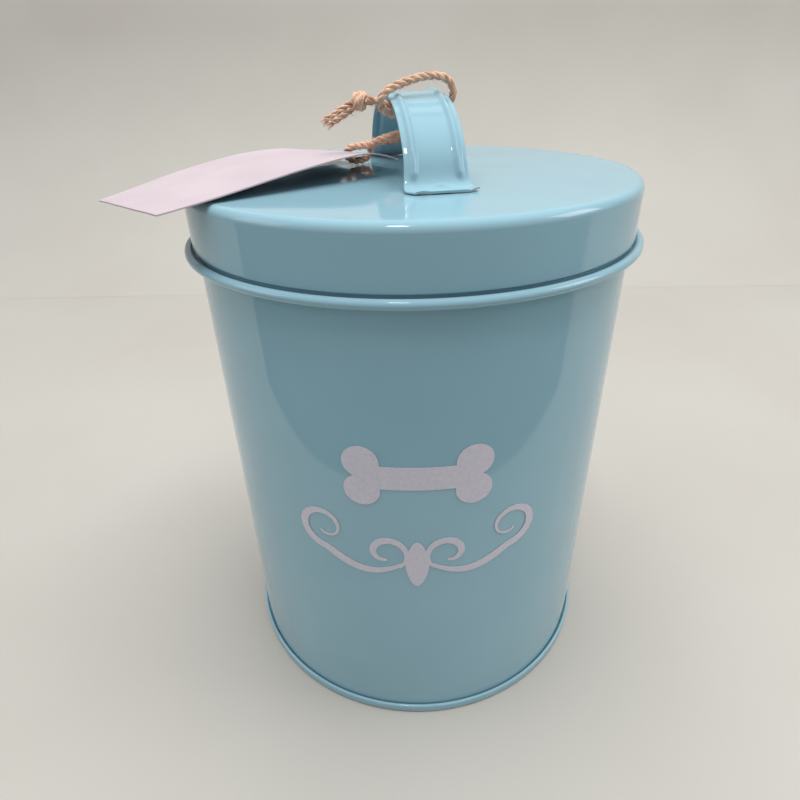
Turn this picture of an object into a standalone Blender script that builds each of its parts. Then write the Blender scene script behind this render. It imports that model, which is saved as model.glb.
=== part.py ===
"""Pet treat tin: a round sheet-steel canister with a lift-off lid, a strap handle and a tied paper tag.

Run with: blender --background --python part.py
Units are metres, +Z is up, the origin is the centre of the foot ring and the printed front faces -Y.
"""

import math

import bmesh
import bpy
from mathutils import Matrix, Vector

# ---- driving dimensions (metres) ----
GAP = 0.0003  # clearance that touching pieces keep
SHEET = 0.00045  # steel sheet of the shells
SEGMENTS = 64  # facets round each turned shell

WALL_R = 0.0710  # outside of the body wall
BEAD_R = 0.0750  # outside of the stop bead, the widest place
BEAD_TUBE_R = 0.00141
BEAD_Z = 0.16505
NECK_R = 0.07122  # outside of the neck that the lid slides over
RIM_CURL_R = 0.0009  # centre line radius of the rolled rim
RIM_TOP_Z = 0.18295

FOOT_RING_R = 0.0725
FOOT_RING_H = 0.0036
BASE_PANEL_Z = 0.00275  # underside of the raised base panel

LID_R = 0.0723
LID_TOP_Z = 0.1837
LID_EDGE_R = 0.00266  # rounding between the lid's top and its skirt
LID_SKIRT_Z = 0.1669  # lower edge of the skirt

HANDLE_TURN = math.radians(10.6)  # the lid sits turned this far from the printed front
HANDLE_SHIFT = 0.0005
STRAP_W = 0.0170
STRAP_T = 0.0006
ARCH_HALF = 0.0357  # half span of the arch's centre line
ARCH_H = 0.0228
ARCH_SWEEP = 74  # degrees of the arch from its crest to where the foot's bend starts
FOOT_END = 0.0426  # tip of a foot, from the handle's middle
FOOT_TIP_W = 0.0142
FOOT_FLARE_W = 0.0182
FOOT_Z = 0.00063  # centre line of a foot above the lid
RIB_OFFSET = 0.0062
RIB_HALF_W = 0.0014
RIB_H = 0.0009
WELD_R = 0.0016
WELD_AT = 0.0396

TAG_W = 0.0550
TAG_L = 0.0830
TAG_T = 0.0004
TAG_CHAMFER = 0.0080
TAG_HOLE_R = 0.0030
TAG_HOLE_S = 0.0760
TAG_CORNER = Vector((-0.0624, -0.0577))
TAG_TURN = math.radians(40.2)
TAG_HINGE = Vector((-0.01905, 0.01494, 0.1876))  # the card swings about its punched end here

TWINE_R = 0.0012
KNOT_AT = Vector((-0.0163, -0.0062, 0.0209))
KNOT_RADII = (0.0031, 0.0027, 0.0028)

PRINT_GAP = 0.0001
PRINT_T = 0.00015
BONE_AT = (0.0009, 0.1116)
SCROLL_AT = (0.0005, 0.0790)

POWDER_BLUE = (0.33, 0.55, 0.63)
PRINT_WHITE = (0.78, 0.76, 0.82)
JUTE = (0.48, 0.27, 0.15)
CARD_WHITE = (0.86, 0.80, 0.83)
WELD_GREY = (0.45, 0.46, 0.47)

# The twine's route from the knot, over the strap, down through the tag's hole, round the tag's end and
# back under the strap to the knot. Millimetres in the lid's frame, z from the lid's top.
LOOP_ROUTE = (
    (-12.9, -7.4, 21.2), (-10.6, -6.9, 20.5), (-7.4, -6.7, 19.6), (-2.0, -7.0, 19.4), (4.0, -7.4, 19.5),
    (8.4, -8.0, 19.8), (10.8, -8.9, 20.8), (11.3, -9.5, 22.8), (10.4, -9.9, 25.0), (8.3, -10.2, 26.5),
    (5.2, -10.6, 27.1), (2.0, -11.0, 26.9), (-1.0, -11.4, 26.4), (-4.3, -12.0, 25.5), (-7.2, -12.6, 24.5),
    (-9.6, -12.9, 23.3), (-11.0, -12.5, 21.7), (-11.0, -11.5, 20.1), (-9.6, -10.3, 18.4), (-6.6, -9.0, 17.0),
    (-3.0, -7.2, 16.0), (0.0, -4.2, 14.8), (0.2, -0.6, 13.0), (-2.6, 2.8, 11.2), (-8.3, 7.0, 9.2),
    (-11.8, 9.9, 7.4), (-15.2, 12.7, 6.8), (-18.0, 14.9, 6.1), (-19.4, 16.0, 4.7), (-19.4, 16.3, 3.2),
    (-18.0, 17.1, 2.0), (-15.4, 18.5, 1.5), (-12.9, 19.9, 1.7), (-10.9, 20.9, 3.1), (-10.6, 20.3, 5.2),
    (-10.4, 17.6, 6.9), (-7.8, 14.2, 7.7), (-4.0, 9.8, 8.4), (-0.4, 6.4, 9.6), (2.0, 4.6, 12.2),
    (1.4, 3.0, 15.0), (-1.6, 1.2, 17.4), (-5.4, -0.8, 19.1), (-8.6, -2.4, 20.1), (-11.0, -3.5, 20.5),
    (-13.0, -4.3, 20.6),
)
TAIL_ROUTES = {
    "twine_tail_upper": ((-19.7, -5.9, 20.2), (-22.0, -6.6, 19.0), (-24.6, -7.3, 17.6), (-27.2, -8.0, 16.3)),
    "twine_tail_lower": ((-18.1, -3.9, 19.1), (-20.7, -3.3, 17.4), (-23.4, -3.0, 15.9), (-25.7, -3.1, 14.7)),
}
LOOP_SPACING = 0.0021
TAIL_SPACING = 0.0026


def clear_scene():
    for obj in list(bpy.data.objects):
        bpy.data.objects.remove(obj, do_unlink=True)


def material(name, colour, roughness, metallic=0.0):
    made = bpy.data.materials.new(name)
    made.use_nodes = True
    shader = made.node_tree.nodes["Principled BSDF"]
    shader.inputs["Base Color"].default_value = (*colour, 1.0)
    shader.inputs["Roughness"].default_value = roughness
    shader.inputs["Metallic"].default_value = metallic
    return made


def mesh_object(name, mesh, look, parent=None, sharp_deg=35.0):
    """Links one named object with its material and smooth shading up to the sharp angle."""
    obj = bpy.data.objects.new(name, mesh)
    bpy.context.scene.collection.objects.link(obj)
    mesh.materials.clear()
    mesh.materials.append(look)
    mesh.shade_smooth()
    mesh.set_sharp_from_angle(angle=math.radians(sharp_deg))
    obj.parent = parent
    return obj


def mesh_from(bm, name):
    bmesh.ops.recalc_face_normals(bm, faces=bm.faces)
    mesh = bpy.data.meshes.new(name)
    bm.to_mesh(mesh)
    bm.free()
    return mesh


# ---- turned sheet-metal shells ----
def arc(centre, radius, start_deg, end_deg, steps):
    """Points (r, z) along a circular arc."""
    points = []
    for i in range(steps + 1):
        angle = math.radians(start_deg + (end_deg - start_deg) * i / steps)
        points.append((centre[0] + radius * math.cos(angle), centre[1] + radius * math.sin(angle)))
    return points


def sheet_section(path, thickness):
    """The closed section of a sheet of this thickness whose middle follows path."""
    left, right = [], []
    for i, (r, z) in enumerate(path):
        before = Vector(path[max(i - 1, 0)])
        after = Vector(path[min(i + 1, len(path) - 1)])
        along = (after - before).normalized()
        side = Vector((-along.y, along.x)) * (thickness / 2)
        left.append((max(r + side.x, 0.0), z + side.y))
        right.append((max(r - side.x, 0.0), z - side.y))
    return left + right[::-1]


def turned(name, section, look, parent=None, on_axis=False):
    """Turns a section (r, z) about Z. With on_axis, the section's two ends lie on the axis."""
    bm = bmesh.new()
    verts = [bm.verts.new((r, 0.0, z)) for r, z in section]
    last = len(verts) - 1 if on_axis else len(verts)
    edges = [bm.edges.new((verts[i], verts[(i + 1) % len(verts)])) for i in range(last)]
    bmesh.ops.spin(bm, geom=verts + edges, cent=(0, 0, 0), axis=(0, 0, 1), angle=math.tau,
                   steps=SEGMENTS, use_merge=True)
    bmesh.ops.remove_doubles(bm, verts=bm.verts, dist=1e-6)
    return mesh_object(name, mesh_from(bm, name), look, parent)


def body_shell(look):
    """Wall, folded stop bead, neck and inward-rolled rim, all one sheet."""
    wall = WALL_R - SHEET / 2
    neck = NECK_R - SHEET / 2
    bead_r = BEAD_R - BEAD_TUBE_R
    fold = BEAD_TUBE_R - SHEET / 2
    web_z = BEAD_Z - fold
    path = [(wall, 0.00095)]
    path += arc((wall + 0.0009, web_z - 0.0009), 0.0009, 180, 90, 2)
    path += arc((bead_r, BEAD_Z), fold, -90, 90, 8)
    path += arc((neck + 0.0006, BEAD_Z + fold + 0.0006), 0.0006, -90, -180, 2)
    curl = (neck - RIM_CURL_R, RIM_TOP_Z - RIM_CURL_R - SHEET / 2)
    path += arc(curl, RIM_CURL_R, 0, 240, 7)
    return turned("body_shell", sheet_section(path, SHEET), look)


def base_disc(look):
    """Base panel whose edge folds round the foot of the wall as a seam ring."""
    inside = WALL_R - SHEET - 0.00035
    outside = WALL_R + GAP
    top = BASE_PANEL_Z + SHEET
    section = [
        (0.0, BASE_PANEL_Z), (0.0689, BASE_PANEL_Z), (0.0694, 0.0023), (0.0695, 0.00035), (0.06985, 0.0),
        (FOOT_RING_R - 0.0006, 0.0), (FOOT_RING_R - 0.00015, 0.0002), (FOOT_RING_R, 0.0007),
        (FOOT_RING_R, FOOT_RING_H - 0.0006), (FOOT_RING_R - 0.0003, FOOT_RING_H - 0.0001),
        (FOOT_RING_R - 0.00075, FOOT_RING_H), (outside, FOOT_RING_H - 0.0003), (outside, 0.00065),
        (inside, 0.00065), (inside, top - 0.0006), (inside - 0.0006, top), (0.0, top),
    ]
    return turned("base_disc", section, look, on_axis=True)


def lid_shell(look, parent):
    """Flat top, rounded edge and skirt. Heights are measured from the lid's top."""
    top = -SHEET / 2
    skirt = LID_R - SHEET / 2
    bend = LID_EDGE_R - SHEET / 2
    path = [(0.0, top), (0.030, top), (0.060, top)]
    path += arc((skirt - bend, top - bend), bend, 90, 0, 6)
    path += [(skirt, -0.009), (skirt, LID_SKIRT_Z - LID_TOP_Z)]
    return turned("lid_shell", sheet_section(path, SHEET), look, parent, on_axis=True)


# ---- strap handle ----
def strap_half_path():
    """(distance from the middle, height) along half of the strap's middle line, crest to foot tip."""
    points = []
    for i in range(15):
        angle = math.radians(90 - ARCH_SWEEP * i / 14)
        points.append(Vector((ARCH_HALF * math.cos(angle), ARCH_H * math.sin(angle))))
    start = points[-1]
    slope = (points[-1] - points[-2]).normalized()
    bends = (start, start + slope * 0.0034, Vector((0.0364, FOOT_Z)), Vector((0.0398, FOOT_Z)))
    for i in range(1, 7):
        t = i / 6
        weights = ((1 - t) ** 3, 3 * t * (1 - t) ** 2, 3 * t * t * (1 - t), t ** 3)
        points.append(sum((w * p for w, p in zip(weights, bends)), Vector((0, 0))))
    points += [Vector((0.0409, FOOT_Z)), Vector((0.0417, FOOT_Z)), Vector((FOOT_END, FOOT_Z))]
    return points


def strap_half_width(along):
    """Half width of the strap at a distance from the handle's middle: flared foot, chamfered tip."""
    if along < 0.0350:
        return STRAP_W / 2
    if along < 0.0394:
        return STRAP_W / 2 + (FOOT_FLARE_W - STRAP_W) / 2 * (along - 0.0350) / 0.0044
    return FOOT_FLARE_W / 2 + (FOOT_TIP_W - FOOT_FLARE_W) / 2 * (along - 0.0394) / (FOOT_END - 0.0394)


def rib_height(across, height):
    """How far the pressed ribs stand proud. They fade out just above each foot."""
    fade = min(max((height - 0.0022) / 0.0022, 0.0), 1.0)
    reach = abs(abs(across) - RIB_OFFSET) / RIB_HALF_W
    if reach >= 1.0:
        return 0.0
    return RIB_H * math.cos(reach * math.pi / 2) * math.sqrt(fade)


def handle_strap(look, parent):
    half = strap_half_path()
    path = [Vector((-p.x, p.y)) for p in half[:0:-1]] + half
    edge = STRAP_W / 2
    rib_steps = (-1.0, -0.5, 0.0, 0.5, 1.0)
    across = [-edge] + [-RIB_OFFSET + k * RIB_HALF_W for k in rib_steps]
    across += [0.0] + [RIB_OFFSET + k * RIB_HALF_W for k in rib_steps] + [edge]
    bm = bmesh.new()
    rings = []
    for i, point in enumerate(path):
        along = (path[min(i + 1, len(path) - 1)] - path[max(i - 1, 0)]).normalized()
        normal = Vector((-along.y, along.x))
        scale = strap_half_width(abs(point.x)) / edge
        ring = []
        for side, order in ((1, across), (-1, across[::-1])):
            for x in order:
                height = side * STRAP_T / 2 + rib_height(x, point.y)
                spot = point + normal * height
                ring.append(bm.verts.new((x * scale, spot.x, spot.y)))
        rings.append(ring)
    for a, b in zip(rings, rings[1:]):
        for i in range(len(a)):
            j = (i + 1) % len(a)
            bm.faces.new((a[i], a[j], b[j], b[i]))
    bm.faces.new(rings[0])
    bm.faces.new(rings[-1][::-1])
    return mesh_object("handle_strap", mesh_from(bm, "handle_strap"), look, parent)


def weld_nugget(name, side, look, parent):
    """A spot weld's nugget between the strap's foot and the lid."""
    bm = bmesh.new()
    bmesh.ops.create_cone(bm, cap_ends=True, segments=20, radius1=WELD_R, radius2=WELD_R, depth=0.0002)
    obj = mesh_object(name, mesh_from(bm, name), look, parent)
    obj.location = (0.0, side * WELD_AT, 0.000165)
    return obj


# ---- twine ----
def smooth_route(route, spacing):
    """Points in metres, evenly spaced along a smooth curve through the route's own points."""
    points = [Vector(p) / 1000 for p in route]
    ends = [2 * points[0] - points[1]] + points + [2 * points[-1] - points[-2]]
    fine = []
    for a, b, c, d in zip(ends, ends[1:], ends[2:], ends[3:]):
        for i in range(12):
            t = i / 12
            fine.append(0.5 * (2 * b + (c - a) * t + (2 * a - 5 * b + 4 * c - d) * t * t
                               + (3 * b - a - 3 * c + d) * t ** 3))
    fine.append(points[-1])
    lengths = [0.0]
    for a, b in zip(fine, fine[1:]):
        lengths.append(lengths[-1] + (b - a).length)
    count = max(round(lengths[-1] / spacing), 2)
    even, at = [], 0
    for i in range(count + 1):
        want = lengths[-1] * i / count
        while at < len(fine) - 2 and lengths[at + 1] < want:
            at += 1
        span = lengths[at + 1] - lengths[at]
        even.append(fine[at].lerp(fine[at + 1], (want - lengths[at]) / span))
    return even


def twine_tube(name, route, spacing, look, parent):
    curve = bpy.data.curves.new(name, "CURVE")
    curve.dimensions = "3D"
    curve.bevel_depth = TWINE_R
    curve.bevel_resolution = 2
    curve.use_fill_caps = True
    points = smooth_route(route, spacing)
    spline = curve.splines.new("POLY")
    spline.points.add(len(points) - 1)
    for place, point in zip(spline.points, points):
        place.co = (*point, 1.0)
    curve.materials.append(look)
    obj = bpy.data.objects.new(name, curve)
    bpy.context.scene.collection.objects.link(obj)
    obj.parent = parent
    return obj


def twine_knot(look, parent):
    bm = bmesh.new()
    bmesh.ops.create_icosphere(bm, subdivisions=2, radius=1.0)
    bmesh.ops.scale(bm, vec=KNOT_RADII, verts=bm.verts)
    obj = mesh_object("twine_knot", mesh_from(bm, "twine_knot"), look, parent)
    obj.location = KNOT_AT
    return obj


# ---- paper tag ----
def smooth_step(t):
    t = min(max(t, 0.0), 1.0)
    return t * t * (3 - 2 * t)


def tag_height(s, v):
    """Height of the bowed card's middle above the floor, s along it and v across it."""
    k, m = s / 0.05, v / 0.05
    bow = 0.18305 + 0.00473 * k + 0.00581 * k * k - 0.00363 * k ** 3
    twist = (-0.00356 + 0.00494 * k - 0.00321 * k * k) * m
    sag = -0.0013 * smooth_step((s - 0.060) / 0.023) * (1 - 0.6 * v / TAG_W)
    corner = -0.0021 * smooth_step((s - 0.066) / 0.017) * max(1 - 2 * v / TAG_W, 0)
    return bow + twist + sag + corner


def cut(obj, cutter_mesh, name):
    """Boolean difference with a hidden cutter, applied so that the mesh can be bent afterwards."""
    cutter = bpy.data.objects.new(name, cutter_mesh)
    bpy.context.scene.collection.objects.link(cutter)
    cutter.hide_render = True
    cutter.display_type = "WIRE"
    change = obj.modifiers.new(name, "BOOLEAN")
    change.object = cutter
    change.solver = "EXACT"
    graph = bpy.context.evaluated_depsgraph_get()
    mesh = bpy.data.meshes.new_from_object(obj.evaluated_get(graph))
    obj.modifiers.clear()
    obj.data = mesh
    bpy.data.objects.remove(cutter, do_unlink=True)


def swing_tag(look):
    """A card with two clipped corners and a hole, bowed over the lid's edge."""
    bm = bmesh.new()
    bmesh.ops.create_cube(bm, size=1.0)
    bmesh.ops.transform(bm, matrix=Matrix.Diagonal((TAG_L, TAG_W, TAG_T, 1.0)), verts=bm.verts)
    for lengths, count in ((0, 24), (1, 10)):
        edges = [e for e in bm.edges if abs((e.verts[0].co - e.verts[1].co)[lengths]) > 0.01]
        bmesh.ops.subdivide_edges(bm, edges=edges, cuts=count - 1, use_grid_fill=True)
    bmesh.ops.translate(bm, vec=(TAG_L / 2, TAG_W / 2, 0), verts=bm.verts)
    obj = mesh_object("swing_tag", mesh_from(bm, "swing_tag"), look)
    hole = bmesh.new()
    bmesh.ops.create_cone(hole, cap_ends=True, segments=24, radius1=TAG_HOLE_R, radius2=TAG_HOLE_R, depth=0.01)
    bmesh.ops.translate(hole, vec=(TAG_HOLE_S, TAG_W / 2, 0), verts=hole.verts)
    cut(obj, mesh_from(hole, "hole"), "hole_cutter")
    for name, corner in (("near", 0.0), ("far", TAG_W)):
        clip = bmesh.new()
        side = TAG_CHAMFER * math.sqrt(2)
        bmesh.ops.create_cube(clip, size=1.0)
        bmesh.ops.transform(clip, matrix=Matrix.Diagonal((side, side, 0.01, 1.0)), verts=clip.verts)
        bmesh.ops.rotate(clip, matrix=Matrix.Rotation(math.pi / 4, 3, "Z"), verts=clip.verts)
        bmesh.ops.translate(clip, vec=(TAG_L, corner, 0), verts=clip.verts)
        cut(obj, mesh_from(clip, name), name + "_clip_cutter")
    along = Vector((math.cos(TAG_TURN), math.sin(TAG_TURN)))
    across = Vector((-along.y, along.x))
    for vert in obj.data.vertices:
        s, v, rise = vert.co
        spot = TAG_CORNER + along * s + across * v
        vert.co = Vector((spot.x, spot.y, tag_height(s, v) + rise)) - TAG_HINGE
    obj.location = TAG_HINGE
    obj.data.materials.clear()
    obj.data.materials.append(look)
    return obj


# ---- printed front ----
def prism(outline, centre):
    """A closed bar along Y whose outline (x, z) stands in front of the wall."""
    bm = bmesh.new()
    front = [bm.verts.new((centre[0] + x, -0.080, centre[1] + z)) for x, z in outline]
    face = bm.faces.new(front)
    pushed = bmesh.ops.extrude_face_region(bm, geom=[face])
    moved = [v for v in pushed["geom"] if isinstance(v, bmesh.types.BMVert)]
    bmesh.ops.translate(bm, vec=(0, 0.060, 0), verts=moved)
    return mesh_from(bm, "prism")


def shell_patch(half_width, centre, half_height):
    """A thin curved slab just outside the wall, wide enough for one print."""
    inner = WALL_R + PRINT_GAP
    middle = math.asin(centre[0] / inner)
    reach = math.asin(min(half_width / inner, 0.95))
    bm = bmesh.new()
    columns = []
    for i in range(29):
        angle = middle - reach + 2 * reach * i / 28
        column = []
        for radius, z in ((inner, -half_height), (inner + PRINT_T, -half_height),
                          (inner + PRINT_T, half_height), (inner, half_height)):
            column.append(bm.verts.new((radius * math.sin(angle), -radius * math.cos(angle), centre[1] + z)))
        columns.append(column)
    for a, b in zip(columns, columns[1:]):
        for i in range(4):
            j = (i + 1) % 4
            bm.faces.new((a[i], a[j], b[j], b[i]))
    bm.faces.new(columns[0])
    bm.faces.new(columns[-1][::-1])
    return mesh_from(bm, "patch")


def printed(name, bars, half_width, centre, half_height, look):
    """Keeps the part of the curved slab that lies behind the bars' joined outline."""
    tool = bpy.data.objects.new(name + "_outline", bars[0])
    bpy.context.scene.collection.objects.link(tool)
    helpers = [tool]
    for i, bar in enumerate(bars[1:]):
        other = bpy.data.objects.new(f"{name}_bar_{i}", bar)
        bpy.context.scene.collection.objects.link(other)
        helpers.append(other)
        join = tool.modifiers.new(f"join_{i}", "BOOLEAN")
        join.operation = "UNION"
        join.object = other
        join.solver = "EXACT"
    obj = mesh_object(name, shell_patch(half_width, centre, half_height), look)
    keep = obj.modifiers.new("outline", "BOOLEAN")
    keep.operation = "INTERSECT"
    keep.object = tool
    keep.solver = "EXACT"
    for helper in helpers:
        helper.hide_render = True
        helper.display_type = "WIRE"
    return obj


def bone_outline():
    """A plain cartoon bone: a bar with two round knuckles at each end."""
    knuckle = 0.0055
    reach, spread = 0.0165, 0.0050
    right_top = arc((reach, spread), knuckle, 190, -64, 18)
    right_low = [(x, -z) for x, z in right_top[::-1]]
    left_low = [(-x, -z) for x, z in right_top]
    left_top = [(-x, z) for x, z in right_top[::-1]]
    return right_top + right_low + left_low + left_top


def stroke(curve, width, steps, mirror):
    """The outline of a tapering stroke. curve(t) gives its middle and width(t) its width."""
    left, right = [], []
    for i in range(steps + 1):
        t = i / steps
        here = Vector(curve(t))
        along = (Vector(curve(min(t + 0.01, 1.0))) - Vector(curve(max(t - 0.01, 0.0)))).normalized()
        side = Vector((-along.y, along.x)) * (width(t) / 2)
        left.append(here + side)
        right.append(here - side)
    return [(mirror * p.x, p.y) for p in left + right[::-1]]


def volute(t):
    """A long wave that runs out from the middle and curls up into a spiral."""
    if t < 0.5:
        k = t / 0.5
        return 0.0020 + 0.0270 * k, -0.0055 * math.sin(k * math.pi) + 0.0010 * k
    k = (t - 0.5) / 0.5
    angle = math.radians(-90 + 400 * k)
    radius = 0.0088 * (1 - 0.72 * k)
    return 0.0290 + radius * math.cos(angle) * 0.95, 0.0098 + radius * math.sin(angle)


def inner_curl(t):
    angle = math.radians(235 - 330 * t)
    radius = 0.0072 * (1 - 0.62 * t)
    return 0.0098 + radius * math.cos(angle), 0.0030 + radius * math.sin(angle)


def scroll_bars():
    """Mirrored volutes and inner curls that meet in a drop in the middle."""
    bars = []
    for mirror in (1, -1):
        swell = stroke(volute, lambda t: 0.0008 + 0.0021 * math.sin(math.pi * min(t * 1.15, 1.0)), 44, mirror)
        curl = stroke(inner_curl, lambda t: 0.0008 + 0.0016 * math.sin(math.pi * t), 26, mirror)
        bars += [prism(swell, SCROLL_AT), prism(curl, SCROLL_AT)]
    drop = [(0.0038 * math.sin(a), -0.0015 + 0.0095 * math.cos(a) * (0.6 + 0.4 * abs(math.cos(a))))
            for a in (math.tau * i / 28 for i in range(28))]
    return [prism(drop, SCROLL_AT)] + bars


def main():
    clear_scene()
    enamel = material("powder_blue_enamel", POWDER_BLUE, 0.25)
    ink = material("print", PRINT_WHITE, 0.5)
    jute = material("jute", JUTE, 0.9)
    card = material("card", CARD_WHITE, 0.8)
    steel = material("weld_steel", WELD_GREY, 0.4, 1.0)

    body_shell(enamel)
    base_disc(enamel)
    printed("bone_print", [prism(bone_outline(), BONE_AT)], 0.030, BONE_AT, 0.014, ink)
    printed("scroll_print", scroll_bars(), 0.044, SCROLL_AT, 0.024, ink)

    lid = bpy.data.objects.new("lid_frame", None)
    lid.location = (0.0, 0.0, LID_TOP_Z)
    lid.rotation_euler.z = HANDLE_TURN
    bpy.context.scene.collection.objects.link(lid)
    lid_shell(enamel, lid)
    strap = handle_strap(enamel, lid)
    strap.location.x = HANDLE_SHIFT
    weld_nugget("front_weld_nugget", -1, steel, lid)
    weld_nugget("rear_weld_nugget", 1, steel, lid)
    twine_tube("twine_loop", LOOP_ROUTE, LOOP_SPACING, jute, lid)
    twine_knot(jute, lid)
    for name, route in TAIL_ROUTES.items():
        twine_tube(name, route, TAIL_SPACING, jute, lid)
    swing_tag(card)


main()
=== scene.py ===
import math
import random

import bmesh
import bpy
from mathutils import Matrix, Vector, noise


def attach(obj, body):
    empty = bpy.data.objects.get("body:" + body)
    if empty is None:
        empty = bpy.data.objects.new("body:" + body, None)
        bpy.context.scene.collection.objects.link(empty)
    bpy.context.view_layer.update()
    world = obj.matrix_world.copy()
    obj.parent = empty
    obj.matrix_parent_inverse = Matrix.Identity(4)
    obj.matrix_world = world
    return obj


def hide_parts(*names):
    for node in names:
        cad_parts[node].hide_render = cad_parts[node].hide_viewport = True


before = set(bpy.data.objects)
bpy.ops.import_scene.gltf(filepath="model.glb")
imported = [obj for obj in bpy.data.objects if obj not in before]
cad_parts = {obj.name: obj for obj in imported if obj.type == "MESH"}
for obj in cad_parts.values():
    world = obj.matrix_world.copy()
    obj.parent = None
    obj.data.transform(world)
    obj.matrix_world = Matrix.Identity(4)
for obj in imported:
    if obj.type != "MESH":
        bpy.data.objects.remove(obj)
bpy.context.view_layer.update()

# ---- sizes shared with part.py (metres) ----
SHEET = 0.00045
WALL_R = 0.0710
BEAD_R = 0.0750
BEAD_TUBE_R = 0.00141
BEAD_Z = 0.16505
NECK_R = 0.07122
RIM_CURL_R = 0.0009
RIM_TOP_Z = 0.18295
FOOT_RING_R = 0.0725
FOOT_RING_H = 0.0036
BASE_PANEL_Z = 0.00275
LID_R = 0.0723
LID_TOP_Z = 0.1837
LID_EDGE_R = 0.00266
LID_SKIRT_Z = 0.1669
HANDLE_TURN = math.radians(10.6)
HANDLE_SHIFT = 0.0005
STRAP_W = 0.0170
STRAP_T = 0.0006
ARCH_HALF = 0.0357
ARCH_H = 0.0228
FOOT_END = 0.0426
FOOT_Z = 0.00063
FOOT_FLAT_FROM = 0.0398
FOOT_TORN_AT = 0.0406
FOOT_FLARE = 0.0008
FOOT_SPUR = 0.0012
ARCH_SWEEP = 74
RIB_OFFSET = 0.0062
RIB_HALF_W = 0.0014
RIB_H = 0.0009
TAG_W = 0.0550
TAG_L = 0.0830
TAG_T = 0.0004
TAG_CHAMFER = 0.0080
TAG_HOLE_R = 0.0030
TAG_HOLE_S = 0.0760
TAG_CORNER = Vector((-0.0624, -0.0577))
TAG_TURN = math.radians(40.2)
LOOP_ROUTE = (
    (-12.9, -7.4, 21.2), (-10.6, -6.9, 20.5), (-7.4, -6.7, 19.6), (-2.0, -7.0, 19.4), (4.0, -7.4, 19.5),
    (8.4, -8.0, 19.8), (10.8, -8.9, 20.8), (11.3, -9.5, 22.8), (10.4, -9.9, 25.0), (8.3, -10.2, 26.5),
    (5.2, -10.6, 27.1), (2.0, -11.0, 26.9), (-1.0, -11.4, 26.4), (-4.3, -12.0, 25.5), (-7.2, -12.6, 24.5),
    (-9.6, -12.9, 23.3), (-11.0, -12.5, 21.7), (-11.0, -11.5, 20.1), (-9.6, -10.3, 18.4), (-6.6, -9.0, 17.0),
    (-3.0, -7.2, 16.0), (0.0, -4.2, 14.8), (0.2, -0.6, 13.0), (-2.6, 2.8, 11.2), (-8.3, 7.0, 9.2),
    (-11.8, 9.9, 7.4), (-15.2, 12.7, 6.8), (-18.0, 14.9, 6.1), (-19.4, 16.0, 4.7), (-19.4, 16.3, 3.2),
    (-18.0, 17.1, 2.0), (-15.4, 18.5, 1.5), (-12.9, 19.9, 1.7), (-10.9, 20.9, 3.1), (-10.6, 20.3, 5.2),
    (-10.4, 17.6, 6.9), (-7.8, 14.2, 7.7), (-4.0, 9.8, 8.4), (-0.4, 6.4, 9.6), (2.0, 4.6, 12.2),
    (1.4, 3.0, 15.0), (-1.6, 1.2, 17.4), (-5.4, -0.8, 19.1), (-8.6, -2.4, 20.1), (-11.0, -3.5, 20.5),
    (-13.0, -4.3, 20.6),
)
TAIL_UPPER = ((-19.7, -5.9, 20.2), (-22.0, -6.6, 19.0), (-24.6, -7.3, 17.6), (-27.2, -8.0, 16.3))
TAIL_LOWER = ((-18.1, -3.9, 19.1), (-20.7, -3.3, 17.4), (-23.4, -3.0, 15.9), (-25.7, -3.1, 14.7))
KNOT_AT = (-16.3, -6.2, 20.9)
KNOT_UPPER_WAY = ((-17.4, -6.2, 21.2), (-15.2, -6.9, 21.5))
KNOT_LOWER_WAY = ((-15.2, -4.6, 20.4), (-16.8, -4.2, 19.9))
KNOT_TURNS = 2.35
KNOT_WRAP_R = 0.00175
PLIES = 3
PLY_R = 0.00066
PLY_OFFSET = 0.00056
LAY_MM = 7.2
TWINE_STEP = 0.00035
TWINE_FIBRES = 1000
KNOT_FIBRES = 90
END_FIBRES = 46

LID_FRAME = Matrix.Translation((0, 0, LID_TOP_Z)) @ Matrix.Rotation(HANDLE_TURN, 4, "Z")


# ---- camera ----
CAMERA_AT = (0.0, -0.1988, 0.2129)
CAMERA_YAW, CAMERA_PITCH, CAMERA_ROLL = -0.0282, 0.5309, -0.0263
CAMERA_LENS_MM = 25.447


def make_camera():
    yaw, pitch, roll = CAMERA_YAW, CAMERA_PITCH, CAMERA_ROLL
    ahead = Vector((math.sin(yaw) * math.cos(pitch), math.cos(yaw) * math.cos(pitch), -math.sin(pitch)))
    level = Vector((math.cos(yaw), -math.sin(yaw), 0.0))
    rise = level.cross(ahead)
    right = math.cos(roll) * level + math.sin(roll) * rise
    up = -math.sin(roll) * level + math.cos(roll) * rise
    data = bpy.data.cameras.new("camera")
    data.lens = CAMERA_LENS_MM
    data.sensor_width = 36.0
    data.clip_start = 0.01
    data.clip_end = 20.0
    camera = bpy.data.objects.new("camera", data)
    axes = Matrix((right, up, -ahead)).transposed()
    camera.matrix_world = Matrix.Translation(CAMERA_AT) @ axes.to_4x4()
    bpy.context.scene.collection.objects.link(camera)
    bpy.context.scene.camera = camera


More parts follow.
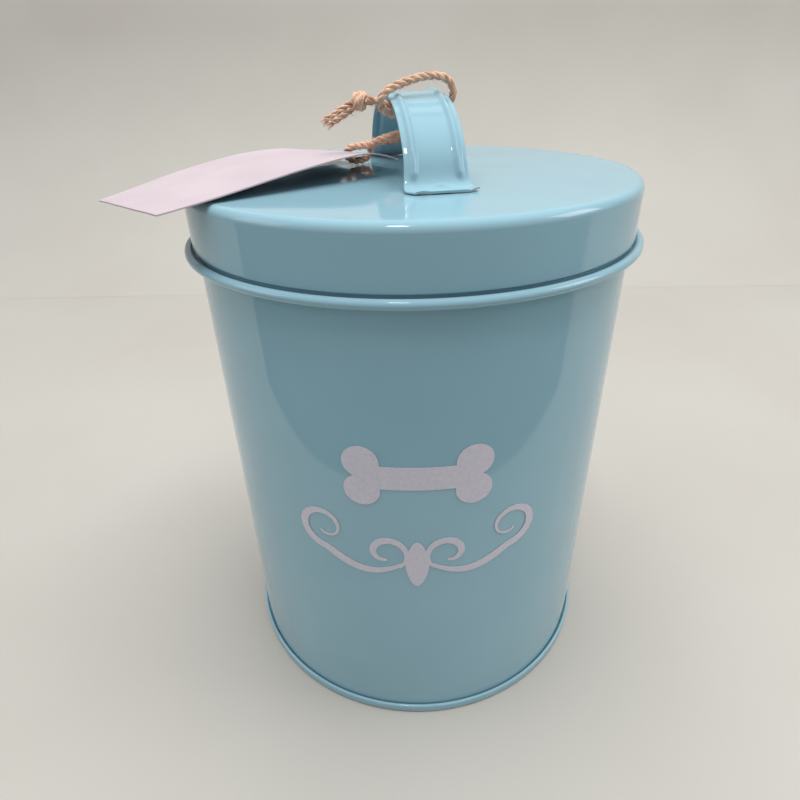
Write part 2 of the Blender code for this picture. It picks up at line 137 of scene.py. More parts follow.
# ---- materials ----
class Look:
    """A small helper that builds one node material."""

    def __init__(self, name, **constants):
        self.mat = bpy.data.materials.new(name)
        self.mat.use_nodes = True
        self.tree = self.mat.node_tree
        self.shader = self.tree.nodes["Principled BSDF"]
        for key, value in constants.items():
            self.shader.inputs[key.replace("_", " ")].default_value = value

    def node(self, kind, settings=None, **inputs):
        made = self.tree.nodes.new(kind)
        for key, value in (settings or {}).items():
            setattr(made, key, value)
        for key, value in inputs.items():
            self.plug(value, made.inputs[key.replace("_", " ")])
        return made

    def plug(self, value, socket):
        if isinstance(value, bpy.types.NodeSocket):
            self.tree.links.new(value, socket)
        else:
            socket.default_value = value

    def place(self, kind="Object", scale=(1, 1, 1)):
        coords = self.node("ShaderNodeTexCoord")
        return self.node("ShaderNodeMapping", Vector=coords.outputs[kind], Scale=scale).outputs[0]

    def noise(self, where, scale, detail=2.0, rough=0.5):
        return self.node("ShaderNodeTexNoise", Vector=where, Scale=scale, Detail=detail,
                         Roughness=rough).outputs["Fac"]

    def ramp(self, value, stops):
        made = self.node("ShaderNodeValToRGB", Fac=value)
        ramp = made.color_ramp
        while len(ramp.elements) < len(stops):
            ramp.elements.new(0.5)
        for element, (at, colour) in zip(ramp.elements, stops):
            element.position = at
            element.color = (*colour, 1.0)
        return made.outputs["Color"]

    def to_range(self, value, low, high, start=0.0, end=1.0):
        made = self.node("ShaderNodeMapRange", Value=value)
        for i, number in enumerate((start, end, low, high), start=1):
            made.inputs[i].default_value = number
        return made.outputs["Result"]

    def math(self, operation, a, b=0.0):
        made = self.node("ShaderNodeMath", {"operation": operation})
        self.plug(a, made.inputs[0])
        self.plug(b, made.inputs[1])
        return made.outputs[0]

    def mix(self, amount, a, b):
        made = self.node("ShaderNodeMix", {"data_type": "RGBA"})
        self.plug(amount, made.inputs["Factor"])
        self.plug(a, made.inputs[6])
        self.plug(b, made.inputs[7])
        return made.outputs[2]

    def bump(self, height, distance, strength=1.0, normal=None):
        made = self.node("ShaderNodeBump", Height=height, Distance=distance, Strength=strength)
        if normal:
            self.tree.links.new(normal, made.inputs["Normal"])
        return made.outputs["Normal"]

    def set(self, **inputs):
        for key, value in inputs.items():
            self.plug(value, self.shader.inputs[key.replace("_", " ")])
        return self.mat


def rgb(r, g, b):
    """Linear colour from 8-bit sRGB numbers."""
    return tuple(((c / 255 + 0.055) / 1.055) ** 2.4 if c > 10 else c / 3294.6 for c in (r, g, b))


def enamel_look(name, base=(128, 164, 178), wave=0.00010):
    look = Look(name, IOR=1.5)
    where = look.place()
    cloud = look.noise(where, 14.0, 3.0)
    colour = look.ramp(cloud, ((0.3, rgb(*(c - 3 for c in base))), (0.7, rgb(*(c + 3 for c in base)))))
    cells = look.node("ShaderNodeTexVoronoi", Vector=where, Scale=120.0)
    near = look.to_range(cells.outputs["Distance"], 1.0, 0.0, 0.018, 0.040)
    chosen = look.math("GREATER_THAN", look.noise(where, 31.0), 0.66)
    speck = look.math("MULTIPLY", near, chosen)
    colour = look.mix(speck, colour, (*rgb(58, 62, 60), 1.0))
    smear = look.to_range(look.noise(where, 22.0, 4.0), 0.05, 0.11, 0.35, 0.75)
    peel = look.bump(look.noise(where, 420.0, 2.0), 0.000006)
    swell = look.bump(look.noise(where, 26.0, 1.0), wave, 1.0, peel)
    return look.set(Base_Color=colour, Roughness=smear, Normal=swell)


def print_look():
    look = Look("screen_print")
    where = look.place()
    grain = look.noise(where, 900.0, 3.0)
    colour = look.ramp(grain, ((0.3, rgb(180, 178, 190)), (0.7, rgb(190, 188, 200))))
    return look.set(Base_Color=colour, Roughness=look.to_range(grain, 0.34, 0.5),
                    Normal=look.bump(grain, 0.00001))


def card_look():
    look = Look("tag_card", Sheen_Weight=0.1)
    where = look.place()
    pulp = look.noise(look.place(scale=(1.0, 2.2, 1.0)), 700.0, 5.0, 0.65)
    cloud = look.noise(where, 60.0, 3.0)
    colour = look.ramp(cloud, ((0.3, rgb(166, 154, 161)), (0.7, rgb(173, 162, 168))))
    fleck = look.math("GREATER_THAN", pulp, 0.73)
    colour = look.mix(look.math("MULTIPLY", fleck, 0.12), colour, (*rgb(140, 126, 132), 1.0))
    return look.set(Base_Color=colour, Roughness=look.to_range(pulp, 0.6, 0.8),
                    Normal=look.bump(pulp, 0.00004))


def jute_look(name, dark=(132, 98, 76), mid=(202, 163, 138), pale=(232, 198, 174)):
    look = Look(name, Sheen_Weight=0.25, Roughness=0.85)
    look.shader.inputs["Specular IOR Level"].default_value = 0.25
    fibre_place = look.node("ShaderNodeMapping", Vector=look.node("ShaderNodeUVMap").outputs[0],
                            Scale=(0.55, 7.0, 1.0)).outputs[0]
    fibre = look.noise(fibre_place, 1.6, 5.0, 0.7)
    patch = look.noise(look.place(), 380.0, 3.0)
    both = look.math("ADD", look.math("MULTIPLY", fibre, 0.65), look.math("MULTIPLY", patch, 0.35))
    colour = look.ramp(both, ((0.34, rgb(*dark)), (0.5, rgb(*mid)), (0.66, rgb(*pale))))
    return look.set(Base_Color=colour, Normal=look.bump(fibre, 0.00012))


def weld_look():
    look = Look("weld_steel", Metallic=1.0)
    grain = look.noise(look.place(), 1500.0, 4.0)
    return look.set(Base_Color=look.ramp(grain, ((0.3, (0.25, 0.26, 0.27)), (0.7, (0.5, 0.5, 0.5)))),
                    Roughness=look.to_range(grain, 0.3, 0.55), Normal=look.bump(grain, 0.00002))


def floor_look():
    look = Look("studio_floor", Roughness=0.9)
    cloud = look.noise(look.place(), 5.0, 3.0)
    return look.set(Base_Color=look.ramp(cloud, ((0.3, rgb(163, 160, 155)), (0.7, rgb(168, 166, 161)))))


# ---- mesh helpers ----
def add_mesh(name, mesh, look, sharp_deg=40.0):
    obj = bpy.data.objects.new(name, mesh)
    bpy.context.scene.collection.objects.link(obj)
    mesh.materials.clear()
    mesh.materials.append(look)
    mesh.shade_smooth()
    mesh.set_sharp_from_angle(angle=math.radians(sharp_deg))
    return obj


def mesh_of(name, verts, faces, fix=True):
    mesh = bpy.data.meshes.new(name)
    mesh.from_pydata([tuple(v) for v in verts], [], faces)
    if fix:
        bm = bmesh.new()
        bm.from_mesh(mesh)
        bmesh.ops.recalc_face_normals(bm, faces=bm.faces)
        bm.to_mesh(mesh)
        bm.free()
    return mesh


def join(piece, body, slot, *replaced):
    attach(piece, body)
    if replaced:
        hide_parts(*replaced)
    return piece


def smooth_step(t):
    t = min(max(t, 0.0), 1.0)
    return t * t * (3 - 2 * t)


def arc(centre, radius, start_deg, end_deg, steps):
    points = []
    for i in range(steps + 1):
        angle = math.radians(start_deg + (end_deg - start_deg) * i / steps)
        points.append((centre[0] + radius * math.cos(angle), centre[1] + radius * math.sin(angle)))
    return points


def sheet_section(path, thickness, round_ends=False):
    """The closed section of a sheet whose middle follows path. Rounded ends look rolled."""
    left, right = [], []
    sides = []
    for i, (r, z) in enumerate(path):
        before = Vector(path[max(i - 1, 0)])
        after = Vector(path[min(i + 1, len(path) - 1)])
        along = (after - before).normalized()
        side = Vector((-along.y, along.x)) * (thickness / 2)
        sides.append((Vector((r, z)), along, side))
        left.append((max(r + side.x, 0.0), z + side.y))
        right.append((max(r - side.x, 0.0), z - side.y))
    if not round_ends:
        return left + right[::-1]

    def cap(centre, along, side):
        return [tuple(centre + side * math.cos(a) + along * (thickness / 2) * math.sin(a))
                for a in (math.radians(d) for d in (36, 72, 108, 144))]

    end = cap(*sides[-1])
    start = cap(sides[0][0], -sides[0][1], -sides[0][2])
    return left + end + right[::-1] + start


def lathe(name, section, look, on_axis=False, steps=288, shape=None, extra=()):
    """Turns a section about Z. shape(angle, r, z) may move a point, and extra adds angles where it does."""
    angles = sorted(set([math.tau * i / steps for i in range(steps)] + [a % math.tau for a in extra]))
    verts, rings = [], []
    for r, z in section:
        if on_axis and r < 1e-7:
            verts.append((0.0, 0.0, z))
            rings.append([len(verts) - 1] * len(angles))
            continue
        ring = []
        for a in angles:
            rr, zz = shape(a, r, z) if shape else (r, z)
            verts.append((rr * math.cos(a), rr * math.sin(a), zz))
            ring.append(len(verts) - 1)
        rings.append(ring)
    faces = []
    pairs = list(zip(rings, rings[1:])) + ([] if on_axis else [(rings[-1], rings[0])])
    for a, b in pairs:
        for i in range(len(angles)):
            j = (i + 1) % len(angles)
            corners = (a[i], a[j], b[j], b[i])
            face = tuple(dict.fromkeys(corners))
            if len(face) > 2:
                faces.append(face)
    return add_mesh(name, mesh_of(name, verts, faces), look, 50.0)


# ---- tin body ----
SEAM_AT = math.radians(97.0)
SEAM_HALF = 0.0024
SEAM_PROUD = 0.00034
SEAM_CRISP = 0.0004
SEAM_SOFT = 0.0010
BASE_BEADS = (0.030, 0.052)


def seam_lift(angle):
    """How far the folded lock seam at the back stands proud, with one crisp side and one soft side."""
    across = ((angle - SEAM_AT + math.pi) % math.tau - math.pi) * WALL_R
    if across < -SEAM_HALF - SEAM_CRISP or across > SEAM_HALF + SEAM_SOFT:
        return 0.0
    if across < -SEAM_HALF:
        return SEAM_PROUD * (across + SEAM_HALF + SEAM_CRISP) / SEAM_CRISP
    if across > SEAM_HALF:
        return SEAM_PROUD * smooth_step(1 - (across - SEAM_HALF) / SEAM_SOFT)
    return SEAM_PROUD


def make_body(look):
    wall = WALL_R - SHEET / 2
    neck = NECK_R - SHEET / 2
    bead_r = BEAD_R - BEAD_TUBE_R
    fold = BEAD_TUBE_R - SHEET / 2
    web_z = BEAD_Z - fold
    path = [(wall, z) for z in (0.00095, 0.0030, 0.0046, 0.0052, 0.012, 0.05, 0.09, 0.13, 0.1570, 0.1600)]
    path += arc((wall + 0.0009, web_z - 0.0009), 0.0009, 180, 90, 8)
    path += arc((bead_r, BEAD_Z), fold, -90, 180, 40)
    groove = (bead_r - fold - neck) / 2
    path += arc((neck + groove, BEAD_Z), groove, 0, -180, 14)[1:]
    path += [(neck, 0.172), (neck, 0.178)]
    curl = (neck - RIM_CURL_R, RIM_TOP_Z - RIM_CURL_R - SHEET / 2)
    path += arc(curl, RIM_CURL_R, 0, 240, 18)

    def shape(angle, r, z):
        rise = min(max((z - 0.0046) / 0.0006, 0.0), 1.0) * min(max((0.1600 - z) / 0.0030, 0.0), 1.0)
        return r + seam_lift(angle) * rise, z

    soft_edge = [SEAM_HALF + SEAM_SOFT * i / 10 for i in range(1, 11)]
    edges = [-SEAM_HALF - SEAM_CRISP, -SEAM_HALF, SEAM_HALF] + soft_edge
    extra = [SEAM_AT + e / WALL_R for e in edges]
    body = lathe("tin_body", sheet_section(path, SHEET, True), look, shape=shape, extra=extra)
    return join(body, "bin", "enamel", "body_shell")


def make_base(look):
    inside = WALL_R - SHEET - 0.00035
    outside = WALL_R + 0.0003
    top = BASE_PANEL_Z + SHEET
    ring_mid = (FOOT_RING_R + outside) / 2
    crown = (FOOT_RING_R - outside) / 2

    def bead(r0, z, height=0.0006, half=0.0022):
        return [(r0 - half + 2 * half * i / 8, z - height * math.sin(math.pi * i / 8)) for i in range(9)]

    under = [(0.0, BASE_PANEL_Z)] + bead(BASE_BEADS[0], BASE_PANEL_Z) + bead(BASE_BEADS[1], BASE_PANEL_Z)
    section = under + [(0.0676, BASE_PANEL_Z), (0.0682, BASE_PANEL_Z)]
    section += arc((0.0686, BASE_PANEL_Z - 0.0008), 0.0008, 90, 0, 5)
    section += arc((0.0702, 0.0007), 0.0007, 180, 270, 5)
    section += [(0.0706, 0.0)]
    section += arc((FOOT_RING_R - 0.0008, 0.0008), 0.0008, -90, 0, 8)
    section += arc((ring_mid, FOOT_RING_H - crown), crown, 0, 180, 10)
    section += [(outside, 0.00065), (inside, 0.00065), (inside, top - 0.0008)]
    section += arc((inside - 0.0008, top - 0.0008), 0.0008, 0, 90, 5)
    section += bead(BASE_BEADS[1], top)[::-1] + bead(BASE_BEADS[0], top)[::-1]
    section += [(0.0, top)]
    base = lathe("tin_base", section, look, on_axis=True)
    return join(base, "bin", "enamel", "base_disc")


# ---- lid ----
def make_lid(look):
    top = -SHEET / 2
    skirt = LID_R - SHEET / 2
    bend = LID_EDGE_R - SHEET / 2
    low = LID_SKIRT_Z - LID_TOP_Z
    path = [(0.0, top)] + [(0.004 * i, top) for i in range(1, 17)] + [(0.0672, top)]
    path += arc((skirt - bend, top - bend), bend, 90, 0, 16)
    path += [(skirt, -0.0045), (skirt, -0.009), (skirt, -0.013), (skirt, low + 0.0008)]
    upper = []
    lower = []
    for i, (r, z) in enumerate(path):
        before = Vector(path[max(i - 1, 0)])
        after = Vector(path[min(i + 1, len(path) - 1)])
        along = (after - before).normalized()
        side = Vector((-along.y, along.x)) * (SHEET / 2)
        upper.append((max(r + side.x, 0.0), z + side.y))
        lower.append((max(r - side.x, 0.0), z - side.y))
    hem = 0.00036
    roll = arc((LID_R - hem, low + hem), hem, 0, -180, 10)
    inner_edge = [(LID_R - 2 * hem, low + 0.0018), (LID_R - SHEET, low + 0.0020)]
    section = upper + roll + inner_edge + lower[:-1][::-1]
    lid = lathe("tin_lid", section, look, on_axis=True)
    lid.data.transform(LID_FRAME)
    return join(lid, "lid", "enamel", "lid_shell")


def strap_half_path(arch_steps=56, bend_steps=16):
    points = []
    for i in range(arch_steps + 1):
        angle = math.radians(90 - ARCH_SWEEP * i / arch_steps)
        points.append(Vector((ARCH_HALF * math.cos(angle), ARCH_H * math.sin(angle))))
    start = points[-1]
    low = math.radians(90 - ARCH_SWEEP)
    ahead = Vector((ARCH_HALF * math.sin(low), -ARCH_H * math.cos(low))).normalized()
    bends = (start, start + ahead * 0.0034, Vector((0.0364, FOOT_Z)), Vector((FOOT_FLAT_FROM, FOOT_Z)))
    for i in range(1, bend_steps + 1):
        t = i / bend_steps
        weights = ((1 - t) ** 3, 3 * t * (1 - t) ** 2, 3 * t * t * (1 - t), t ** 3)
        points.append(sum((w * p for w, p in zip(weights, bends)), Vector((0, 0))))
    flat = FOOT_END - FOOT_FLAT_FROM
    points += [Vector((FOOT_FLAT_FROM + flat * i / 12, FOOT_Z)) for i in range(1, 13)]
    return points


def rib_height(across, height):
    fade = smooth_step((height - 0.0018) / 0.0026)
    reach = abs(abs(across) - RIB_OFFSET) / (RIB_HALF_W * (0.35 + 0.65 * math.sqrt(fade)))
    if reach >= 1.0:
        return 0.0
    return RIB_H * fade * (0.5 + 0.5 * math.cos(reach * math.pi)) ** 0.8


def foot_edges(along, front):
    """How far the strap reaches to its left and right at a distance from the handle's middle."""
    half = STRAP_W / 2
    flare = half + FOOT_FLARE * smooth_step((along - 0.0335) / 0.0045)
    chamfer = flare - 0.0020 * max(along - FOOT_FLAT_FROM, 0.0) / (FOOT_END - FOOT_FLAT_FROM)
    if not front:
        return chamfer, chamfer
    if along < FOOT_TORN_AT:
        right = flare + FOOT_SPUR * smooth_step((along - 0.0368) / (FOOT_TORN_AT - 0.0368))
    else:
        right = flare + FOOT_SPUR - 0.0030 * smooth_step((along - FOOT_TORN_AT) / 0.0020)
    return chamfer, right


def foot_lift(across, along, front):
    """Small bends in the pressed foot: a lifted lip, a turned-up corner and the spot weld's dimple."""
    if not front:
        dimple = 1 - math.hypot(across / 0.0030, (along - 0.0392) / 0.0021)
        return -0.00022 * smooth_step(dimple / 0.35)
    end = smooth_step((along - 0.0402) / 0.0022)
    lip = 0.00025 * end * math.exp(-((across + 0.0052) / 0.0013) ** 2)
    corner = 0.00045 * smooth_step((across - 0.0070) / 0.0030) * smooth_step((along - 0.0385) / 0.0030)
    dimple = 1 - math.hypot((across - 0.0006) / 0.0031, (along - 0.0394) / 0.0020)
    ring = 0.00010 * math.exp(-((dimple + 0.06) / 0.10) ** 2)
    return lip + corner + ring - 0.00026 * smooth_step(dimple / 0.35)


def make_strap(look):
    half = strap_half_path()
    path = [Vector((-p.x, p.y)) for p in half[:0:-1]] + half
    count = 46
    grid = [-1 + 2 * i / count for i in range(count + 1)]
    verts, rings = [], []
    for i, point in enumerate(path):
        along = (path[min(i + 1, len(path) - 1)] - path[max(i - 1, 0)]).normalized()
        normal = Vector((-along.y, along.x))
        reach = abs(point.x)
        front = point.x < 0
        left, right = foot_edges(reach, front)
        ring = []

        def put(t, side, out=0.0):
            across = t * (left if t < 0 else right)
            nominal = t * STRAP_W / 2
            lift = rib_height(nominal, point.y) + foot_lift(across, reach, front)
            edge_drop = 0.00012 * smooth_step((abs(t) - 0.93) / 0.07)
            spot = point + normal * (side * STRAP_T / 2 + lift - edge_drop)
            verts.append((across + out, spot.x, spot.y))
            ring.append(len(verts) - 1)

        for t in grid:
            put(t, 1)
        for d in (60, 30, 0, -30, -60):
            a = math.radians(d)
            put(1.0, math.sin(a), STRAP_T / 2 * math.cos(a))
        for t in grid[::-1]:
            put(t, -1)
        for d in (-60, -30, 0, 30, 60):
            a = math.radians(d)
            put(-1.0, math.sin(a), -STRAP_T / 2 * math.cos(a))
        rings.append(ring)
    faces = []
    for a, b in zip(rings, rings[1:]):
        for i in range(len(a)):
            j = (i + 1) % len(a)
            faces.append((a[i], a[j], b[j], b[i]))
    top_count = len(grid)
    for ring, flip in ((rings[0], False), (rings[-1], True)):
        upper = ring[:top_count]
        right_edge = ring[top_count:top_count + 5]
        lower = ring[top_count + 5:top_count + 5 + top_count][::-1]
        for i in range(top_count - 1):
            quad = (upper[i], upper[i + 1], lower[i + 1], lower[i])
            faces.append(quad[::-1] if flip else quad)
        faces.append([upper[-1]] + right_edge + [lower[-1]])
        faces.append([lower[0]] + ring[-5:] + [upper[0]])
    strap = add_mesh("lid_strap", mesh_of("lid_strap", verts, faces), look, 55.0)
    strap.data.transform(LID_FRAME @ Matrix.Translation((HANDLE_SHIFT, 0, 0)))
    return join(strap, "lid", "enamel", "handle_strap")


# ---- twine ----
def smooth_route(route, step):
    """Evenly spaced world points along a smooth curve through a route given in the lid's frame."""
    points = [Vector(p) / 1000 for p in route]
    ends = [2 * points[0] - points[1]] + points + [2 * points[-1] - points[-2]]
    fine = []
    for a, b, c, d in zip(ends, ends[1:], ends[2:], ends[3:]):
        for i in range(16):
            t = i / 16
            fine.append(0.5 * (2 * b + (c - a) * t + (2 * a - 5 * b + 4 * c - d) * t * t
                               + (3 * b - a - 3 * c + d) * t ** 3))
    fine.append(points[-1])
    lengths = [0.0]
    for a, b in zip(fine, fine[1:]):
        lengths.append(lengths[-1] + (b - a).length)
    count = max(round(lengths[-1] / step), 2)
    even, at = [], 0
    for i in range(count + 1):
        want = lengths[-1] * i / count
        while at < len(fine) - 2 and lengths[at + 1] < want:
            at += 1
        part = (want - lengths[at]) / (lengths[at + 1] - lengths[at])
        even.append(LID_FRAME @ fine[at].lerp(fine[at + 1], part))
    return even, lengths[-1]


def frames_along(points):
    """A direction and two side vectors at each point, without twist."""
    found = []
    side = None
    for i in range(len(points)):
        ahead = (points[min(i + 1, len(points) - 1)] - points[max(i - 1, 0)]).normalized()
        if side is None:
            side = ahead.orthogonal().normalized()
        side = (side - ahead * side.dot(ahead)).normalized()
        found.append((ahead, side, ahead.cross(side)))
    return found


class Tubes:
    """Collects tubes with UVs (length in mm, way round) into one mesh."""

    def __init__(self):
        self.verts, self.faces, self.uvs = [], [], []

    def tube(self, points, radius, sides, start_mm=0.0, ridges=0, seed=0.0, taper=0.0):
        rings = []
        run = start_mm
        around = frames_along(points)
        total = len(points) - 1
        for i, point in enumerate(points):
            if i:
                run += (point - points[i - 1]).length * 1000
            _, side, other = around[i]
            ring = []
            thin = min(1.0, taper + (1 - taper) * math.sin(math.pi * min(max(i / total, 0.02), 0.98)) ** 0.25)
            for k in range(sides):
                a = math.tau * k / sides
                wobble = noise.noise(Vector((run * 0.9, math.cos(a) * 1.2 + seed, math.sin(a) * 1.2)))
                ridge = math.cos(ridges * a + run * 2.2) * 0.05 if ridges else 0.0
                r = radius * thin * (1.0 + 0.13 * wobble + ridge)
                self.verts.append(point + side * (r * math.cos(a)) + other * (r * math.sin(a)))
                ring.append(len(self.verts) - 1)
            rings.append((ring, run))
        for (a, ua), (b, ub) in zip(rings, rings[1:]):
            for k in range(sides):
                m = (k + 1) % sides
                self.faces.append((a[k], a[m], b[m], b[k]))
                v0, v1 = k / sides, (k + 1) / sides
                self.uvs.append(((ua, v0), (ua, v1), (ub, v1), (ub, v0)))
        for ring, flip, u in ((rings[0][0], True, start_mm), (rings[-1][0], False, run)):
            self.faces.append(tuple(ring[::-1] if flip else ring))
            self.uvs.append(tuple((u, 0.5) for _ in ring))

    def build(self, name, look, sharp=80.0):
        mesh = bpy.data.meshes.new(name)
        mesh.from_pydata([tuple(v) for v in self.verts], [], self.faces)
        layer = mesh.uv_layers.new(name="UVMap")
        for face, corners in zip(mesh.polygons, self.uvs):
            for loop, uv in zip(face.loop_indices, corners):
                layer.data[loop].uv = uv
        return add_mesh(name, mesh, look, sharp)


def twisted(tubes, centre, phase=0.0, fray=0):
    """Lays the plies of the twine round a centre line, with loosened plies over its last points."""
    around = frames_along(centre)
    runs = [0.0]
    for a, b in zip(centre, centre[1:]):
        runs.append(runs[-1] + (b - a).length * 1000)
    for ply in range(PLIES):
        line = []
        for i, point in enumerate(centre):
            _, side, other = around[i]
            slack = 0.0
            if fray:
                left = min(i, len(centre) - 1 - i) / fray
                slack = max(0.0, 1 - left)
            swing = 0.08 * noise.noise(Vector((runs[i] * 0.35, ply * 7.1, phase)))
            a = phase + math.tau * (ply / PLIES + runs[i] / LAY_MM * (1 - 0.4 * slack)) + swing
            offset = PLY_OFFSET * (1 + 0.10 * noise.noise(Vector((runs[i] * 0.5, ply * 3.3, 5.0))))
            offset *= 1 + 0.35 * slack * slack
            line.append(point + (side * math.cos(a) + other * math.sin(a)) * offset)
        tubes.tube(line, PLY_R, 12, ridges=4, seed=ply * 11.0 + phase)


def fuzz(tubes, centre, count, rng, reach=0.0016, out=0.00095):
    """Loose jute fibres that stand off the twine."""
    around = frames_along(centre)
    for _ in range(count):
        i = rng.randrange(1, len(centre) - 1)
        ahead, side, other = around[i]
        a = rng.uniform(0, math.tau)
        radial = side * math.cos(a) + other * math.sin(a)
        sweep = side * -math.sin(a) + other * math.cos(a)
        lean = rng.uniform(-1.0, 1.0)
        roll = rng.uniform(-0.8, 0.8)
        size = reach * rng.uniform(0.35, 1.0) ** 1.5
        start = centre[i] + radial * out
        points = []
        for k in range(6):
            t = k / 5
            points.append(start + radial * size * t * (1 - 0.35 * t) + ahead * lean * size * 1.3 * t
                          + sweep * roll * size * t * t + Vector((0, 0, -0.25 * size * t * t)))
        tubes.tube(points, rng.uniform(0.000022, 0.000042), 3)


def knot_line():
    """The wraps of the knot, a little over two turns round its neck."""
    centre = LID_FRAME @ (Vector(KNOT_AT) / 1000)
    loop_side = LID_FRAME @ Vector((-0.0131, -0.0071, 0.0206))
    axis = (centre - loop_side).normalized()
    side = axis.orthogonal().normalized()
    other = axis.cross(side)
    points = []
    for i in range(91):
        t = i / 90
        a = math.tau * KNOT_TURNS * t + 0.7
        along = -0.0016 + 0.0031 * t
        radius = KNOT_WRAP_R + 0.00022 * math.sin(2 * a + 0.6)
        points.append(centre + axis * along + side * (radius * math.cos(a)) + other * (radius * math.sin(a)))
    return points


def make_twine(jute, jute_fine):
    upper_tip_first = TAIL_UPPER[::-1]
    route = upper_tip_first + KNOT_UPPER_WAY + LOOP_ROUTE + KNOT_LOWER_WAY + TAIL_LOWER
    path, length = smooth_route(route, TWINE_STEP)
    tubes = Tubes()
    twisted(tubes, path, fray=4)
    twine = tubes.build("jute_twine", jute)

    knot = Tubes()
    wraps = knot_line()
    twisted(knot, wraps, phase=0.8)
    knot_piece = knot.build("jute_knot", jute)

    rng = random.Random(7)
    loose = Tubes()
    fuzz(loose, path, TWINE_FIBRES, rng)
    fuzz(loose, wraps, KNOT_FIBRES, rng, reach=0.0014)
    for tip, inward in ((path[0], path[6]), (path[-1], path[-7])):
        outward = (tip - inward).normalized()
        side = outward.orthogonal().normalized()
        other = outward.cross(side)
        for _ in range(END_FIBRES):
            a = rng.uniform(0, math.tau)
            r = 0.0010 * math.sqrt(rng.random())
            radial = side * math.cos(a) + other * math.sin(a)
            size = rng.uniform(0.0006, 0.0019)
            spread = rng.uniform(0.0, 0.55)
            points = [tip + radial * r + (outward + radial * spread * k / 4) * size * k / 4
                      - outward * 0.0004 for k in range(5)]
            loose.tube(points, rng.uniform(0.00003, 0.00006), 3)
    fibres = loose.build("jute_fibres", jute_fine)

    join(twine, "lid", "jute", "twine_loop", "twine_tail_upper", "twine_tail_lower")
    join(knot_piece, "lid", "jute", "twine_knot")
    join(fibres, "lid", "jute")


# ---- tag ----
def tag_height(s, v):
    k, m = s / 0.05, v / 0.05
    bow = 0.18305 + 0.00473 * k + 0.00581 * k * k - 0.00363 * k ** 3
    twist = (-0.00356 + 0.00494 * k - 0.00321 * k * k) * m
    sag = -0.0013 * smooth_step((s - 0.060) / 0.023) * (1 - 0.6 * v / TAG_W)
    corner = -0.0021 * smooth_step((s - 0.066) / 0.017) * max(1 - 2 * v / TAG_W, 0)
    return bow + twist + sag + corner


def make_tag(look):
    """A card slab, punched and clipped flat, then bowed along the card's length."""
    bm = bmesh.new()
    outline = [(0, 0), (TAG_L - TAG_CHAMFER, 0), (TAG_L, TAG_CHAMFER), (TAG_L, TAG_W - TAG_CHAMFER),
               (TAG_L - TAG_CHAMFER, TAG_W), (0, TAG_W)]
    hole = [(TAG_HOLE_S + TAG_HOLE_R * math.cos(a), TAG_W / 2 + TAG_HOLE_R * math.sin(a))
            for a in (math.tau * i / 40 for i in range(40))]
    edges = []
    for ring in (outline, hole):
        verts = [bm.verts.new((x, y, 0)) for x, y in ring]
        edges += [bm.edges.new((verts[i], verts[(i + 1) % len(verts)])) for i in range(len(verts))]
    bmesh.ops.triangle_fill(bm, use_beauty=True, edges=edges, normal=(0, 0, 1))
    for axis, size, cuts in ((0, TAG_L, 66), (1, TAG_W, 44)):
        for i in range(1, cuts):
            at = [0, 0, 0]
            at[axis] = size * i / cuts + 0.00001
            normal = [0, 0, 0]
            normal[axis] = 1
            geom = bm.verts[:] + bm.edges[:] + bm.faces[:]
            bmesh.ops.bisect_plane(bm, geom=geom, plane_co=at, plane_no=normal, dist=1e-7)
    along = Vector((math.cos(TAG_TURN), math.sin(TAG_TURN)))
    across = Vector((-along.y, along.x))
    for vert in bm.verts:
        s, v, _ = vert.co
        spot = TAG_CORNER + along * s + across * v
        ripple = 0.00012 * noise.noise(Vector((s * 60, v * 60, 3.0)))
        vert.co = (spot.x, spot.y, tag_height(s, v) + ripple)
    mesh = bpy.data.meshes.new("card_tag")
    bm.to_mesh(mesh)
    bm.free()
    tag = add_mesh("card_tag", mesh, look)
    thick = tag.modifiers.new("thickness", "SOLIDIFY")
    thick.thickness = TAG_T
    thick.offset = 0.0
    soft = tag.modifiers.new("edge", "BEVEL")
    soft.width = 0.00008
    soft.segments = 2
    soft.limit_method = "ANGLE"
    soft.angle_limit = math.radians(50)
    return join(tag, "tag", "card", "swing_tag")


# ---- studio ----
FLOOR_Z = -0.0002
MIRROR_Z = -0.0001
MIRROR_BACK_Y = 0.42


def area_light(name, at, target, size, watts, colour=(1, 1, 1), size_y=None):
    data = bpy.data.lights.new(name, "AREA")
    data.energy = watts
    data.color = colour
    data.size = size
    if size_y:
        data.shape = "RECTANGLE"
        data.size_y = size_y
    light = bpy.data.objects.new(name, data)
    light.location = at
    light.rotation_mode = "QUATERNION"
    light.rotation_quaternion = (Vector(target) - Vector(at)).to_track_quat("-Z", "Y")
    bpy.context.scene.collection.objects.link(light)
    return light


def plane(name, x0, y0, x1, y1, z, look):
    mesh = mesh_of(name, [(x0, y0, z), (x1, y0, z), (x1, y1, z), (x0, y1, z)], [(0, 1, 2, 3)], fix=False)
    mesh.materials.append(look)
    obj = bpy.data.objects.new(name, mesh)
    bpy.context.scene.collection.objects.link(obj)
    return obj


def backdrop(look):
    """A pale sweep that rises behind the table."""
    sweep = arc((0.40, 0.30), 0.30, -84, -6, 13)
    profile = [(0.40, 0.0)] + sweep + [(0.76, 1.0), (0.80, 1.7)]
    verts = []
    for y, z in profile:
        verts += [(-2.2, y, z + MIRROR_Z), (2.2, y, z + MIRROR_Z)]
    faces = [(2 * i, 2 * i + 1, 2 * i + 3, 2 * i + 2) for i in range(len(profile) - 1)]
    mesh = mesh_of("backdrop", verts, faces, fix=False)
    mesh.materials.append(look)
    mesh.shade_smooth()
    obj = bpy.data.objects.new("backdrop", mesh)
    bpy.context.scene.collection.objects.link(obj)


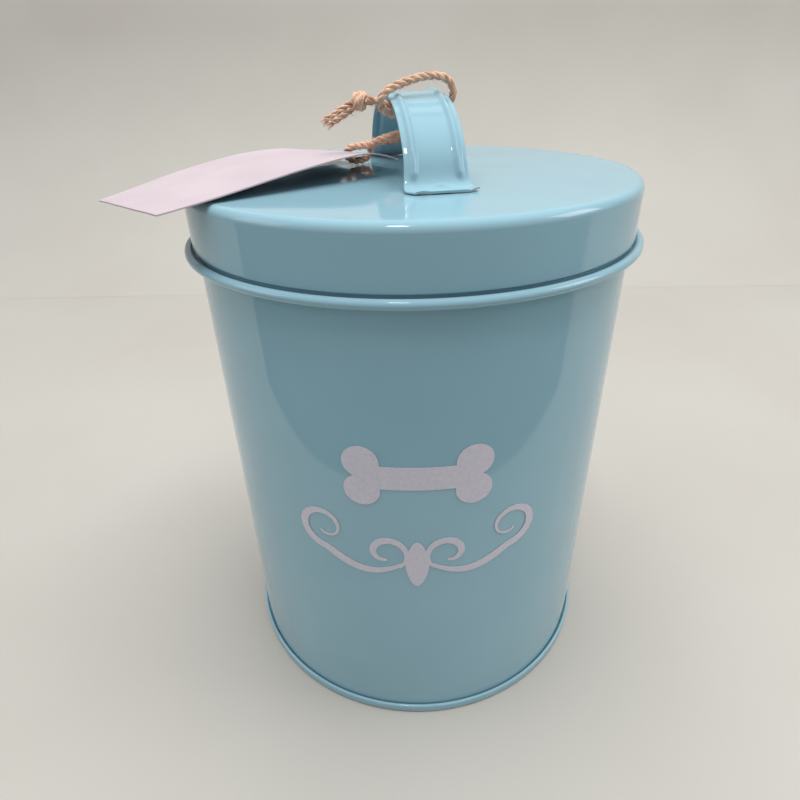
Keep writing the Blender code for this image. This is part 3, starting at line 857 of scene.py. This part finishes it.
def mirrored_floor(look):
    """Seen only in reflections, in place of the floor, which hides from them. It ends in front of the tin."""
    right = ((0.08, -0.195), (0.30, -0.07), (2.0, 0.0))
    front = tuple((-x, y) for x, y in right[::-1]) + ((0.0, -0.205),) + right
    verts = [(x, y, MIRROR_Z) for x, y in front] + [(x, MIRROR_BACK_Y, MIRROR_Z) for x, _ in front]
    n = len(front)
    faces = [(i, i + 1, n + i + 1, n + i) for i in range(n - 1)]
    mesh = mesh_of("floor_mirrored", verts, faces, fix=False)
    mesh.materials.append(look)
    obj = bpy.data.objects.new("floor_mirrored", mesh)
    bpy.context.scene.collection.objects.link(obj)
    return obj


def make_studio():
    look = floor_look()
    floor = plane("floor", -3.0, -3.0, 3.0, 3.0, FLOOR_Z, look)
    floor.visible_glossy = False
    table = mirrored_floor(look)
    table.visible_camera = False
    table.visible_diffuse = False
    table.visible_shadow = False
    backdrop(look)

    world = bpy.data.worlds.new("studio")
    world.use_nodes = True
    tree = world.node_tree
    back = tree.nodes["Background"]
    coords = tree.nodes.new("ShaderNodeTexCoord")
    split = tree.nodes.new("ShaderNodeSeparateXYZ")
    tree.links.new(coords.outputs["Generated"], split.inputs[0])
    spread = tree.nodes.new("ShaderNodeMapRange")
    spread.inputs["From Min"].default_value = -1.0
    tree.links.new(split.outputs["Z"], spread.inputs["Value"])
    ramp = tree.nodes.new("ShaderNodeValToRGB")
    stops = ((0.0, (0.06, 0.07, 0.08)), (0.42, (0.12, 0.13, 0.14)),
             (0.54, (0.55, 0.55, 0.54)), (1.0, (0.95, 0.96, 0.97)))
    while len(ramp.color_ramp.elements) < len(stops):
        ramp.color_ramp.elements.new(0.5)
    for element, (at, colour) in zip(ramp.color_ramp.elements, stops):
        element.position = at
        element.color = (*colour, 1)
    tree.links.new(spread.outputs[0], ramp.inputs[0])
    tree.links.new(ramp.outputs[0], back.inputs["Color"])
    back.inputs["Strength"].default_value = 0.80
    bpy.context.scene.world = world
    bpy.context.scene.view_settings.view_transform = "Standard"

    overhead = area_light("overhead", (0.05, 0.10, 1.45), (0, 0, 0.10), 1.5, 28.0, (1.0, 0.99, 0.97),
                          size_y=1.1)
    overhead.visible_glossy = False
    area_light("front_lamp", (-0.10, -0.55, 1.30), (0, 0, 0.12), 0.16, 2.4)
    area_light("side_left", (-1.30, -0.30, 0.75), (0, 0, 0.10), 0.7, 2.0, (0.97, 0.99, 1.0))
    area_light("side_right", (1.30, -0.10, 0.80), (0, 0, 0.10), 0.6, 4.6, (1.0, 0.98, 0.95))


def main():
    make_camera()
    jute = jute_look("jute_twine")
    make_twine(jute, jute_look("jute_fibre", (176, 144, 126), (216, 184, 164), (236, 210, 190)))
    enamel = enamel_look("blue_enamel")
    lid_enamel = enamel_look("blue_enamel_lid", wave=0.00016)
    make_body(enamel)
    make_base(enamel)
    make_lid(lid_enamel)
    make_strap(lid_enamel)
    make_tag(card_look())
    ink = print_look()
    for name in ("bone_print", "scroll_print"):
        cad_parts[name].material_slots[0].material = ink
    weld = weld_look()
    for name in ("front_weld_nugget", "rear_weld_nugget"):
        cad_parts[name].material_slots[0].material = weld
    make_studio()


main()
